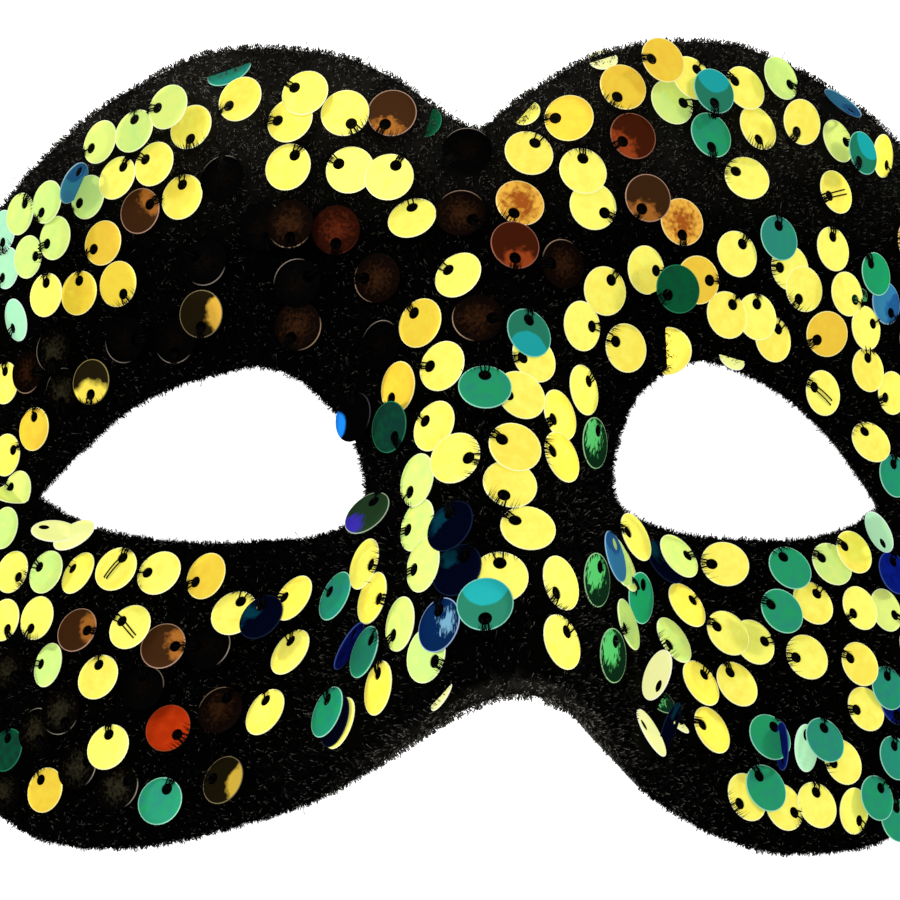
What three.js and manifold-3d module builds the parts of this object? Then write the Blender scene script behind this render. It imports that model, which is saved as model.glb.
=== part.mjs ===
// Sequin half mask lying face up on a table.
// Millimetres. +Z is up, out of the mask's front. +Y is towards the brow. +X is to the viewer's right.
// The origin is on the table, under the middle of the mask's box.

import * as THREE from 'three';
import { mergeVertices } from 'three/addons/utils/BufferGeometryUtils.js';
import Module from 'manifold-3d';

const wasm = await Module();
wasm.setup();

// Driving dimensions of the moulded form: an elliptic arch across the face, with a nose ridge on it.
const FACE_HALF_WIDTH = 75;
const FACE_DEPTH = 54;
const TABLE_CUT = 3.8;
const NOSE_RISE = 34;
const NOSE_TOP_Y = 45;
const NOSE_LENGTH = 80;
const NOSE_HALF_WIDTH = 6.5;
const NOSE_FLARE = 0.15;
const NOSE_LAG = 1.2;
const NOSE_ROUNDNESS = 2.4;

// Layers, measured from the velvet's face along the surface's normal.
const VELVET_THICK = 1.2;
const LAYER_GAP = 0.3;
const BACKING_THICK = 1.2;
const VELVET_ABOVE_TABLE = 0.5;

// Flat round sequins, stitched down in staggered rows and nudged a little out of line, as by hand.
const SEQUIN_DIAMETER = 6;
const SEQUIN_THICK = 0.5;
const SEQUIN_SIDES = 7;
const SEQUIN_CLEARANCE = 0.45;
const SEQUIN_PITCH = 9.1;
const ROW_PITCH = 7.9;
const LOWEST_ROW = -43;
const HIGHEST_ROW = 44;
const NUDGE = 0.8;
const NUDGE_TURN_PER_SEQUIN = 2.4;
const NUDGE_TURN_PER_ROW = 1.7;
const EDGE_MARGIN = 3.8;
const THREAD_WIDTH = 0.8;
const RUN_LENGTH = 7;

// Mesh density of the two shells: steps along each stretch of a half's edge, and rings in from it.
const CENTRE_STEPS = 10;
const BOTTOM_STEPS = 16;
const SIDE_STEPS = 3;
const TOP_STEPS = 16;
const RINGS = 4;

// Fine samples that edges and rows are measured by.
const EDGE_SAMPLES = 240;
const RIM_SAMPLES = 12;
const SMALL_STEP = 0.05;
const WALK_STEP = 0.25;
const WALK_END = 88;
const MERGE_DISTANCE = 1e-3;

// Edge points are [degrees round the arch from the middle, millimetres along Y].
const NOTCH = [0, 36.3];
const NOSE_ARCH = [0, -29.8];

const LEFT = {
  eyeMiddle: [-27, -2],
  bottom: [
    NOSE_ARCH, [-2.5, -31], [-6, -33.5], [-10, -37.4], [-14, -40.6], [-18.5, -43], [-23, -44.8],
    [-28, -46.3], [-33.5, -47.4], [-39.5, -47.4], [-46, -46.2], [-52, -43.4], [-60, -39], [-70, -33.5],
    [-80, -28.5], [-88, -23],
  ],
  top: [
    [-88, 10], [-80, 16], [-70, 20.5], [-60, 25.6], [-51.5, 31.3], [-44, 37.4], [-37.5, 41.6],
    [-31.5, 44.9], [-26.5, 46.8], [-21.5, 47.3], [-16.5, 46.9], [-11.5, 45.3], [-7, 42.4],
    [-3, 38.3], NOTCH,
  ],
  eyeCorner: [-44.5, -6.9],
  eye: [
    [-39, -9.4], [-31, -11.4], [-25, -12.1], [-19.5, -12.1], [-14.7, -11.6], [-12, -10],
    [-10.8, -7.3], [-11, -3.8], [-12.2, 0], [-14, 3.7], [-16.7, 7.2], [-20.5, 8.6], [-25, 7.8],
    [-30, 5.8], [-35, 3], [-40, -1.6],
  ],
};

const RIGHT = {
  eyeMiddle: [26, -2],
  bottom: [
    NOSE_ARCH, [2.5, -29.9], [5.5, -32], [8, -35], [10.5, -38.1], [13, -40.7], [16, -43],
    [20.5, -46], [26, -48.1], [32, -48.6], [38.5, -48], [44.5, -46.2], [52, -42.6], [60, -38.6],
    [70, -33.5], [80, -28.5], [88, -23],
  ],
  top: [
    [88, 10], [80, 16.5], [70, 22], [60, 29], [52, 35.2], [46, 39.5], [39, 43.8], [32, 46.6],
    [26, 48.3], [20, 48.5], [15, 47.6], [10, 45.4], [6, 42.5], [3, 39.4], NOTCH,
  ],
  eyeCorner: [41.5, -7.3],
  eye: [
    [37, -10], [31, -11.4], [25, -11.7], [19, -11.6], [14.7, -10.1], [11.9, -8.5], [11.2, -5.4],
    [11.6, -1.8], [12.8, 2], [14.6, 5.5], [17.5, 7.9], [20.5, 9.3], [24.5, 8.4], [29, 5.8],
    [33.5, 2.4], [38, -2.7],
  ],
};

// The nose swells from nothing at the brow to its full height at the nose arch, widening as it goes.
function noseHeight(x, y) {
  const down = THREE.MathUtils.clamp((NOSE_TOP_Y - y) / NOSE_LENGTH, 0, 1);
  const halfWidth = NOSE_HALF_WIDTH + NOSE_FLARE * Math.max(NOSE_TOP_Y - y, 0);
  const swell = Math.sin(0.5 * Math.PI * down ** NOSE_LAG) ** 2;
  return NOSE_RISE * swell * Math.exp(-(Math.abs(x / halfWidth) ** NOSE_ROUNDNESS));
}

// A point of the velvet's face.
function facePoint(degrees, y) {
  const angle = THREE.MathUtils.degToRad(degrees);
  const x = FACE_HALF_WIDTH * Math.sin(angle);
  const z = FACE_DEPTH * Math.cos(angle) - TABLE_CUT + noseHeight(x, y);
  return new THREE.Vector3(x, y, z);
}

// The outward normal there.
function faceNormal(degrees, y) {
  const across = facePoint(degrees + SMALL_STEP, y).sub(facePoint(degrees - SMALL_STEP, y));
  const along = facePoint(degrees, y + SMALL_STEP).sub(facePoint(degrees, y - SMALL_STEP));
  return across.cross(along).normalize();
}

// A point above (lift > 0) or below the velvet's face.
function liftedPoint(degrees, y, lift) {
  return facePoint(degrees, y).addScaledVector(faceNormal(degrees, y), lift);
}

// Evenly spaced [degrees, y] points on a smooth curve through the given ones.
function smooth(points, steps) {
  const knots = points.map(([degrees, y]) => new THREE.Vector3(degrees, y, 0));
  const curve = new THREE.CatmullRomCurve3(knots, false, 'centripetal');
  return curve.getSpacedPoints(steps).map((p) => [p.x, p.y]);
}

// The point a share of the way from one [degrees, y] point to another.
function between(from, to, share) {
  return [from[0] + share * (to[0] - from[0]), from[1] + share * (to[1] - from[1])];
}

// The edge of one half, from the notch down the middle line, along the bottom, the side and the top.
function halfEdge(half) {
  const middle = smooth([NOTCH, NOSE_ARCH], CENTRE_STEPS);
  const bottom = smooth(half.bottom, BOTTOM_STEPS);
  const side = smooth([half.bottom.at(-1), half.top[0]], SIDE_STEPS);
  const top = smooth(half.top, TOP_STEPS);
  return [middle, bottom, side, top].flatMap((stretch) => stretch.slice(0, -1));
}

function eyeLoop(half) {
  return smooth([half.eyeCorner, ...half.eye, half.eyeCorner], EDGE_SAMPLES);
}

// Where the ray from the eye hole's middle towards a point crosses the eye hole's edge.
function eyeEdgeTowards(half, loop, [degrees, y]) {
  const [c, d] = half.eyeMiddle;
  const ray = [degrees - c, y - d];
  for (let i = 0; i < loop.length - 1; i += 1) {
    const a = [loop[i][0] - c, loop[i][1] - d];
    const b = [loop[i + 1][0] - c, loop[i + 1][1] - d];
    const sideA = ray[0] * a[1] - ray[1] * a[0];
    const sideB = ray[0] * b[1] - ray[1] * b[0];
    const ahead = ray[0] * (a[0] + b[0]) + ray[1] * (a[1] + b[1]) > 0;
    if (ahead && sideA * sideB <= 0) {
      return between(loop[i], loop[i + 1], sideA / (sideA - sideB || 1));
    }
  }
  return loop[0];
}

// The rays of one half, each made of [degrees, y] points from the eye hole out to the edge.
function halfRays(half) {
  const loop = eyeLoop(half);
  const edge = halfEdge(half);
  const inner = edge.map((point) => eyeEdgeTowards(half, loop, point));
  const gaps = inner.map(([degrees, y]) => Math.hypot(degrees - half.eyeCorner[0], y - half.eyeCorner[1]));
  inner[gaps.indexOf(Math.min(...gaps))] = half.eyeCorner;
  return edge.map((outer, k) => {
    const ray = [];
    for (let j = 0; j <= RINGS; j += 1) {
      ray.push(between(inner[k], outer, j / RINGS));
    }
    return ray;
  });
}

// A closed shell between two lifts, trimmed flat a little above or on the table.
function shell(liftInside, liftOutside, trimZ) {
  const corners = [];
  const quad = (a, b, c, d, flip) => {
    const order = flip ? [a, c, b, a, d, c] : [a, b, c, a, c, d];
    order.forEach((p) => corners.push(p.x, p.y, p.z));
  };
  for (const half of [LEFT, RIGHT]) {
    const rays = halfRays(half);
    const flip = half === LEFT;
    const outside = rays.map((ray) => ray.map(([degrees, y]) => liftedPoint(degrees, y, liftOutside)));
    const inside = rays.map((ray) => ray.map(([degrees, y]) => liftedPoint(degrees, y, liftInside)));
    for (let k = 0; k < rays.length; k += 1) {
      const n = (k + 1) % rays.length;
      for (let j = 0; j < RINGS; j += 1) {
        quad(outside[k][j], outside[k][j + 1], outside[n][j + 1], outside[n][j], flip);
        quad(inside[k][j], inside[n][j], inside[n][j + 1], inside[k][j + 1], flip);
      }
      quad(outside[k][0], outside[n][0], inside[n][0], inside[k][0], flip);
      if (k >= CENTRE_STEPS) {
        quad(outside[k][RINGS], inside[k][RINGS], inside[n][RINGS], outside[n][RINGS], flip);
      }
    }
  }
  const room = 4 * FACE_HALF_WIDTH;
  const above = new THREE.BoxGeometry(room, room, room);
  above.translate(0, 0, 0.5 * room + trimZ);
  return fromSolid(toSolid(triangleGeometry(corners)).intersect(toSolid(above)));
}

// Is a [degrees, y] point within a closed loop of them?
function isWithin([degrees, y], loop) {
  let within = false;
  loop.forEach(([a, b], k) => {
    const [c, d] = loop[(k + 1) % loop.length];
    if ((b > y) !== (d > y) && degrees < a + (c - a) * (y - b) / (d - b)) {
      within = !within;
    }
  });
  return within;
}

// The places of one half that lie on the velvet, with the margin to its edges and to the table.
function velvetTest(half) {
  const outline = [...smooth(half.bottom, EDGE_SAMPLES), ...smooth(half.top, EDGE_SAMPLES)];
  const eye = eyeLoop(half);
  const edges = [...outline, ...eye].map(([degrees, y]) => facePoint(degrees, y));
  return (place) => {
    const foot = facePoint(...place);
    const isClear = edges.every((point) => point.distanceTo(foot) > EDGE_MARGIN);
    return isClear && foot.z > EDGE_MARGIN && isWithin(place, outline) && !isWithin(place, eye);
  };
}

// Evenly spaced places along the face at one y, from the left end to the right, each a little nudged.
function rowPlaces(row) {
  const y = LOWEST_ROW + row * ROW_PITCH;
  const places = [];
  let travelled = row % 2 ? 0.5 * SEQUIN_PITCH : 0;
  for (let degrees = -WALK_END; degrees < WALK_END; degrees += WALK_STEP) {
    travelled += facePoint(degrees, y).distanceTo(facePoint(degrees + WALK_STEP, y));
    if (travelled >= SEQUIN_PITCH) {
      const turn = NUDGE_TURN_PER_SEQUIN * places.length + NUDGE_TURN_PER_ROW * row;
      places.push([degrees + 0.5 * NUDGE * Math.cos(turn), y + NUDGE * Math.sin(turn)]);
      travelled -= SEQUIN_PITCH;
    }
  }
  return places;
}

// Neighbouring sequins of a row, in runs that end at the velvet's edges or at the run's full length.
function sequinRuns() {
  const fitsLeft = velvetTest(LEFT);
  const fitsRight = velvetTest(RIGHT);
  const runs = [];
  for (let row = 0; LOWEST_ROW + row * ROW_PITCH <= HIGHEST_ROW; row += 1) {
    let run = null;
    for (const place of rowPlaces(row)) {
      const fits = place[0] < 0 ? fitsLeft(place) : fitsRight(place);
      if (fits && (run === null || run.length === RUN_LENGTH)) {
        run = [];
        runs.push(run);
      }
      if (fits) {
        run.push(placeSequin(place));
      } else {
        run = null;
      }
    }
  }
  return runs;
}

// Height of the velvet's face above the table at x, y.
function faceHeight(x, y) {
  const across = THREE.MathUtils.clamp(x / FACE_HALF_WIDTH, -1, 1);
  return FACE_DEPTH * Math.sqrt(1 - across ** 2) - TABLE_CUT + noseHeight(x, y);
}

// A sequin lies along the face there, high enough for its rim to clear the velvet.
function placeSequin([degrees, y]) {
  const foot = facePoint(degrees, y);
  const normal = faceNormal(degrees, y);
  const turn = new THREE.Quaternion().setFromUnitVectors(new THREE.Vector3(0, 0, 1), normal);
  let lift = SEQUIN_CLEARANCE;
  for (let k = 0; k < RIM_SAMPLES; k += 1) {
    const angle = 2 * Math.PI * k / RIM_SAMPLES;
    const rim = new THREE.Vector3(Math.cos(angle), Math.sin(angle), 0);
    rim.multiplyScalar(0.5 * SEQUIN_DIAMETER).applyQuaternion(turn).add(foot);
    const sunk = (faceHeight(rim.x, rim.y) - rim.z) * normal.z;
    lift = Math.max(lift, sunk + SEQUIN_CLEARANCE);
  }
  lift += 0.5 * SEQUIN_THICK;
  return { centre: foot.addScaledVector(normal, lift), turn, normal };
}

// The corners of one sequin's rim, going round its normal, with a close pair at each thread.
function sequinRim(sequin, neighbours) {
  const radius = 0.5 * SEQUIN_DIAMETER;
  const halfPair = Math.asin(0.5 * THREAD_WIDTH / radius);
  const level = sequin.turn.clone().invert();
  const exits = neighbours.map((other) => {
    const way = other.centre.clone().sub(sequin.centre).applyQuaternion(level);
    return { other, angle: Math.atan2(way.y, way.x) };
  });
  exits.sort((p, q) => p.angle - q.angle);
  const rim = [];
  const addCorner = (angle, exit = null) => {
    const corner = new THREE.Vector3(Math.cos(angle), Math.sin(angle), 0).multiplyScalar(radius);
    rim.push({ at: corner.applyQuaternion(sequin.turn).add(sequin.centre), exit });
  };
  exits.forEach(({ other, angle }, k) => {
    const next = exits[(k + 1) % exits.length].angle + (k === exits.length - 1 ? 2 * Math.PI : 0);
    const arc = next - angle - 2 * halfPair;
    const steps = Math.ceil(arc * SEQUIN_SIDES / (2 * Math.PI));
    addCorner(angle - halfPair, other);
    for (let i = 0; i < steps; i += 1) {
      addCorner(angle + halfPair + arc * i / steps);
    }
  });
  for (let i = 0; exits.length === 0 && i < SEQUIN_SIDES; i += 1) {
    addCorner(2 * Math.PI * i / SEQUIN_SIDES);
  }
  return rim;
}

// One closed body: flat sequins, each joined to the next by a straight stretch of thread.
function runGeometry(run) {
  const positions = [];
  const faces = [];
  const quad = (a, b, c, d) => faces.push(a, b, c, a, c, d);
  const rims = run.map((sequin, index) => {
    const neighbours = [run[index - 1], run[index + 1]].filter(Boolean);
    const rim = sequinRim(sequin, neighbours);
    const half = sequin.normal.clone().multiplyScalar(0.5 * SEQUIN_THICK);
    rim.forEach((corner) => {
      corner.top = positions.length / 3;
      corner.bottom = corner.top + 1;
      positions.push(...corner.at.clone().add(half), ...corner.at.clone().sub(half));
    });
    rim.forEach((corner, k) => {
      corner.next = rim[(k + 1) % rim.length];
      if (!corner.exit) {
        quad(corner.bottom, corner.next.bottom, corner.next.top, corner.top);
      }
      if (k > 1) {
        faces.push(rim[0].top, rim[k - 1].top, corner.top, rim[0].bottom, corner.bottom, rim[k - 1].bottom);
      }
    });
    return rim;
  });
  for (let index = 1; index < run.length; index += 1) {
    const near = rims[index - 1].find((corner) => corner.exit === run[index]);
    const far = rims[index].find((corner) => corner.exit === run[index - 1]);
    quad(near.top, far.next.top, far.top, near.next.top);
    quad(near.bottom, near.next.bottom, far.bottom, far.next.bottom);
    quad(near.bottom, far.next.bottom, far.next.top, near.top);
    quad(far.bottom, near.next.bottom, near.next.top, far.top);
  }
  const geometry = new THREE.BufferGeometry();
  geometry.setAttribute('position', new THREE.Float32BufferAttribute(positions, 3));
  geometry.setIndex(faces);
  return geometry;
}

function triangleGeometry(corners) {
  const geometry = new THREE.BufferGeometry();
  geometry.setAttribute('position', new THREE.Float32BufferAttribute(corners, 3));
  return geometry;
}

function toSolid(geometry) {
  const bare = geometry.clone();
  bare.deleteAttribute('normal');
  bare.deleteAttribute('uv');
  const merged = mergeVertices(bare, MERGE_DISTANCE);
  const vertProperties = new Float32Array(merged.attributes.position.array);
  const triVerts = new Uint32Array(merged.index.array);
  return new wasm.Manifold(new wasm.Mesh({ numProp: 3, vertProperties, triVerts }));
}

function fromSolid(solid) {
  const { vertProperties, triVerts } = solid.getMesh();
  const geometry = new THREE.BufferGeometry();
  geometry.setAttribute('position', new THREE.BufferAttribute(new Float32Array(vertProperties), 3));
  geometry.setIndex(new THREE.BufferAttribute(new Uint32Array(triVerts), 1));
  return geometry;
}

const backingFinish = new THREE.MeshStandardMaterial({ color: 0x18171a, roughness: 0.75, metalness: 0 });
const velvetFinish = new THREE.MeshStandardMaterial({ color: 0x0b0a0c, roughness: 1, metalness: 0 });
const sequinFinish = new THREE.MeshStandardMaterial({ color: 0xf2e04a, roughness: 0.2, metalness: 0.6 });

const mask = new THREE.Group();

function addPiece(name, geometry, material) {
  const mesh = new THREE.Mesh(geometry, material);
  mesh.name = name;
  mask.add(mesh);
}

const backingTop = -(VELVET_THICK + LAYER_GAP);
addPiece('moulded_backing', shell(backingTop - BACKING_THICK, backingTop, 0), backingFinish);
addPiece('velvet_cover', shell(-VELVET_THICK, 0, VELVET_ABOVE_TABLE), velvetFinish);

sequinRuns().forEach((run, index) => {
  addPiece(`sequin_run_${String(index + 1).padStart(2, '0')}`, runGeometry(run), sequinFinish);
});

export default mask;
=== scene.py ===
import math
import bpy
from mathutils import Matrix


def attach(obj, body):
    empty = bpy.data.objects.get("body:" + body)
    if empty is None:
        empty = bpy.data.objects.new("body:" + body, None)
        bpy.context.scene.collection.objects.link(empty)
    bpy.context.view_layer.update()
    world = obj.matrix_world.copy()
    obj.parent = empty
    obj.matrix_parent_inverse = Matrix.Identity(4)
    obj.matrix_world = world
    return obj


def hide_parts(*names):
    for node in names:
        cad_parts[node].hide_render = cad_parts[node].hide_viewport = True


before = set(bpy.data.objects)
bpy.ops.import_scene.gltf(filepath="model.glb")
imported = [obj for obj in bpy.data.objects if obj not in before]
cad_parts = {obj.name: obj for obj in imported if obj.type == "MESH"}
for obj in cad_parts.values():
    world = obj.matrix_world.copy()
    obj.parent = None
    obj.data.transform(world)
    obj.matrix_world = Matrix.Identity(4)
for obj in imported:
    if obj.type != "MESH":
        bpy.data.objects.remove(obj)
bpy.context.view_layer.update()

from types import SimpleNamespace

import bpy
import numpy as np
from mathutils import Matrix, Vector
from mathutils.kdtree import KDTree

# Lengths are millimetres until a mesh is made. Places on the face are [degrees round the arch, y].
MM = 0.001
rng = np.random.default_rng(7)

# The moulded form.
FACE_HALF_WIDTH = 75
FACE_DEPTH = 54
TABLE_CUT = 3.8
NOSE_RISE = 34
NOSE_TOP_Y = 45
NOSE_LENGTH = 80
NOSE_HALF_WIDTH = 6.5
NOSE_FLARE = 0.15
NOSE_LAG = 1.2
NOSE_ROUNDNESS = 2.4
SMALL_STEP = 0.05

# Layers, as heights over the velvet's face: the pile fills the space between its cloth and the face.
CLOTH_TOP = -0.8
CLOTH_BOTTOM = -1.45
CLOTH_INSET = 0.25
EYE_INSET = 0.4
CLOTH_BULGE = 0.3
BACKING_TOP = -1.55
BACKING_BOTTOM = -2.7
BACKING_INSET = 0.9
BACKING_BULGE = 0.4
VELVET_END = 85.2
BACKING_END = 86
CREASE = math.radians(50)
LEAST_SLANT = 0.4

# Mesh density of the velvet and the backing.
CURVE_SAMPLES = 40
EYE_STEPS = 240
CENTRE_STEPS = 44
BOTTOM_STEPS = 90
SIDE_STEPS = 24
TOP_STEPS = 90
RINGS = 26
ROLL_STEPS = 7
WELD_DECIMALS = 4

# Pile. Fibres lean together into tufts, and none stands under a sequin. For each part of the cloth:
# how many fibres, how long and wide they are, how far each leans its own way and how much to its tuft.
FIBRES = 140000
FIBRE_WIDTH = 0.13
PILE = {
    "top": (FIBRES, 0.95, FIBRE_WIDTH, 0.25, 0.6),
    "edge": (32000, 0.75, 0.16, 0.4, 0.6),
    "any": (6000, 1.5, FIBRE_WIDTH, 0.6, 0),
}
FIBRE_VARIETY = 0.45
TUFTS = 9000
TUFT_LEAN = 0.3
COVERED_RADIUS = 2.8
COVERED_DEPTH = 1.6

# Fibres that lean over a sequin's rim at its stitch: how far in they reach, and how they stand by that.
FUZZ_FIBRES = 36
FUZZ_REACH = (0.15, 1.2)
FUZZ_HALF_WIDTHS = (0.25, 0.35, 1)
FUZZ_WIDEST = 2
FUZZ_DRIFT = 0.2
FUZZ_ROOT_DEPTH = -0.4
FUZZ_ROOT_AWAY = (0.15, 0.5)
FUZZ_TIP_HEIGHT = (0.25, 0.45)

# How pale the pile is: painted sheen over the brow, by x, and in a band round the nose arch, where it catches
# the light.
BROW_X = (-62, -48, -30, -6, 12, 60)
BROW_SHEEN = (0.35, 0.45, 0.62, 0.5, 0.38, 0.38)
BROW_Y = (24, 40)
ARCH_X = (-18, -10, -3, 6, 9, 14)
ARCH_SHEEN = (0, 0.5, 1, 1, 0.5, 0)
ARCH_BAND = (1.8, 0.55)
ARCH_DEGREES = 18
CLOTH_SHEEN = 0.08
SHEEN_LEAST = 0.15
SHEEN_SPREAD = 1.7
SHEEN_POWER = 2.6
FLECK_Y = (-10, 5)
FLECKS = (0.6, 0.4)
DARK_POWER = 12

# Shade along a fibre, at three corners of its foot and at its point: painted shade at the root, down in the
# pile, and a painted highlight at the tip. A fleck stands on its point.
FIBRE_SHADE = (0.1, 0.1, 0.1, 1)
FLECK_SHADE = (0.85, 0.85, 0.85, 0)
FLECK_FROM = 0.12

# Sequins, a little smaller towards the sides.
SEQUIN_RADIUS = 2.93
SIDE_SHRINK = 0.1
SIDE_DEGREES = 50
SEQUIN_THICK = 0.12
HOLE_RADIUS = 0.72
HOLE_OFFSET = 1.62
ROUNDED_FROM = 0.97
DISC_SIDES = 32
FOLD_RADIUS = 0.5
FOLD_ANGLE = math.radians(65)

# Foil. The mottle and the edge of a patch follow a noise that differs from disc to disc.
# The foil's painted glow: the share of a disc's colour that it emits as if it were a lamp.
FOIL_PAINTED_GLOW = 0.5
TINT_MOTTLE = 2.4
GRAIN_SCALE = 2.5
GRAIN_SHIFT = 40
PATCH_SOFTNESS = 0.06
# Painted rim highlight, where a disc's edge catches the light: its width and softness, and the arcs it may
# keep to.
RIM_HIGHLIGHT_WIDTH = 0.11
RIM_HIGHLIGHT_SOFTNESS = 0.01
RIM_HIGHLIGHT_ARC = (0.75, 0.2)

# How sequins lie on the pile, hang from their stitch and fan out, by y and by degrees.
SEQUIN_LIFT = 0.25
SEQUIN_GAP = 0.03
SEQUIN_DIP = 0.03
SEQUIN_SCATTER = 0.025
SEQUIN_SINK = 0.1
HANG_Y = (-40, -14, 4, 22, 38)
HANG = (0.3, 0.42, 0.02, 0, 0.22)
FAN = (0, 0, 0.1, 0.12, 0.2)
FLANK_DEGREES = (8, 18, 34, 45)
FLANK_HANG = (0, 1, 1, 0.6)
RIDGE_Y = (-30, 0, 18, 32)
RIDGE_HANG = (0, -0.2, -0.25, 0.15)
BENT_BACK = (-0.9, 1.1)
DIP = {"d": 0.35, "h": 0.6, "s": 0.6}
SINK = {"d": 0.6, "e": 1, "l": 1}
SUNK = ("h", "s")
SUNK_DEPTH = 0.8
SMALL_SIZE = 0.6
LEANING = {"e": math.radians(75), "l": math.radians(62)}
STEEP = 0.35
LEAST_FACING = 0.15
LEAST_RISE = 0.3
CONTACT_RINGS = (0.35, 0.7, 1)
CONTACT_SIDES = 16

# Threads. Each goes up through the hole, over the disc and down past its rim.
THREAD_SIDES = 5
THREAD_RADIUS = 0.095
THREAD_SHARES = (0.25, 0.35, 0.4)
THREAD_SPREAD = 0.45
THREAD_DRIFT = 0.15
HOLE_SPREAD = 0.6
PAST_RIM = (0.1, 0.4)
LONG_THREAD_GAP = 0.28
LONG_THREAD_END = -0.6
LONG_THREAD_SLANT = (0.6, 0.1)
STITCH_REACH = np.array([0, 0.03, 0.3, 0.62, 0.93, 1.0])
STITCH_HEIGHT = np.array([-0.45, 0.1, 0.24, 0.26, 0.2, -0.5])
OFF_AXIS = (0.31, 0.17, 0.94)

# Sequins strewn past the photograph's frame.
WING_COLOURS = "YYYYYYLLLMOCATKKG"
WING_SPACING = 5.1
WING_END = 81
WING_HALF_HEIGHT = 48
WING_TRIES = 6000
EDGE_MARGIN = 3.2

# Camera, in the photograph's frame.
FRAME_PIXELS = 900
TARGET = np.array([-3.3, -0.6, 41.0])
CAMERA_DISTANCE = 270
PIXELS_PER_MM = 8.33
YAW, PITCH, ROLL = (math.radians(angle) for angle in (-3, -6, -0.3))
SENSOR_WIDTH = 36
RAY_REACH = (160, 400)
RAY_STEP = 0.02

# Light, in metres and watts.
WORLD_LIGHT = 0.95
SOFTBOX_WATTS = 3
SOFTBOX_SIZE = 0.8
SOFTBOX_PLACE = (-0.35, 0.35, 0.7)
FLOOR_REACH = 4

NOTCH = (0, 36.3)
NOSE_ARCH = (0, -30.1)

LEFT = SimpleNamespace(
    eye_middle=np.array([-27.0, -2.0]),
    bottom=[
        NOSE_ARCH, (-2.5, -31.3), (-6, -33.5), (-10.2, -37.1), (-14.1, -40.4), (-18.5, -43.1),
        (-23, -45.1), (-27.9, -46.7), (-33.5, -47.6), (-39.5, -47.5), (-46.1, -46.3), (-52, -43.4),
        (-60, -39), (-70, -33.5), (-80, -28.5), (-88, -23),
    ],
    top=[
        (-88, 10), (-80, 16), (-70, 20.5), (-60, 25.9), (-51.9, 31.8), (-44.2, 37.6), (-37.6, 41.8),
        (-31.5, 44.8), (-26.5, 46.8), (-21.5, 47.2), (-16.6, 46.6), (-11.6, 45.1), (-7.1, 42.2),
        (-3, 38.2), NOTCH,
    ],
    eye=[
        (-46.3, -5.4), (-39.3, -9.3), (-31, -11.4), (-25, -12), (-19.6, -11.8), (-14.8, -11.4),
        (-12.1, -9.9), (-11.1, -7.2), (-11.3, -3.8), (-12.2, 0), (-14, 3.7), (-16.8, 7.1),
        (-20.5, 8.8), (-25, 8), (-30.3, 6.4), (-35.3, 3.6), (-40.7, -0.8), (-46.3, -5.4),
    ],
)

RIGHT = SimpleNamespace(
    eye_middle=np.array([26.0, -2.0]),
    bottom=[
        NOSE_ARCH, (2.5, -30.3), (5.8, -31.7), (8.4, -34.5), (11.1, -37.5), (13.6, -40.4),
        (16.3, -42.8), (20.5, -45.9), (26, -48.3), (32, -48.8), (38.6, -48.3), (44.5, -46.4),
        (52, -42.6), (60, -38.6), (70, -33.5), (80, -28.5), (88, -23),
    ],
    top=[
        (88, 10), (80, 16.5), (70, 22), (60, 29.2), (52, 35.5), (46.4, 39.9), (38.8, 43.7), (32, 46.6),
        (26, 48.4), (20, 48.4), (15, 47.5), (10, 45.4), (6.1, 42.3), (2.9, 39.5), NOTCH,
    ],
    eye=[
        (42.8, -7.1), (37.3, -10.1), (31, -11.6), (25, -11.7), (19.2, -11.2), (14.8, -9.9),
        (12.2, -8.2), (11.7, -5.2), (12.2, -1.9), (13.2, 1.8), (14.7, 5.3), (17.4, 8.2),
        (20.4, 9.6), (24.7, 8.7), (29.4, 6.3), (33.9, 2.9), (38.8, -2.3), (42.8, -7.1),
    ],
)

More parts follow.
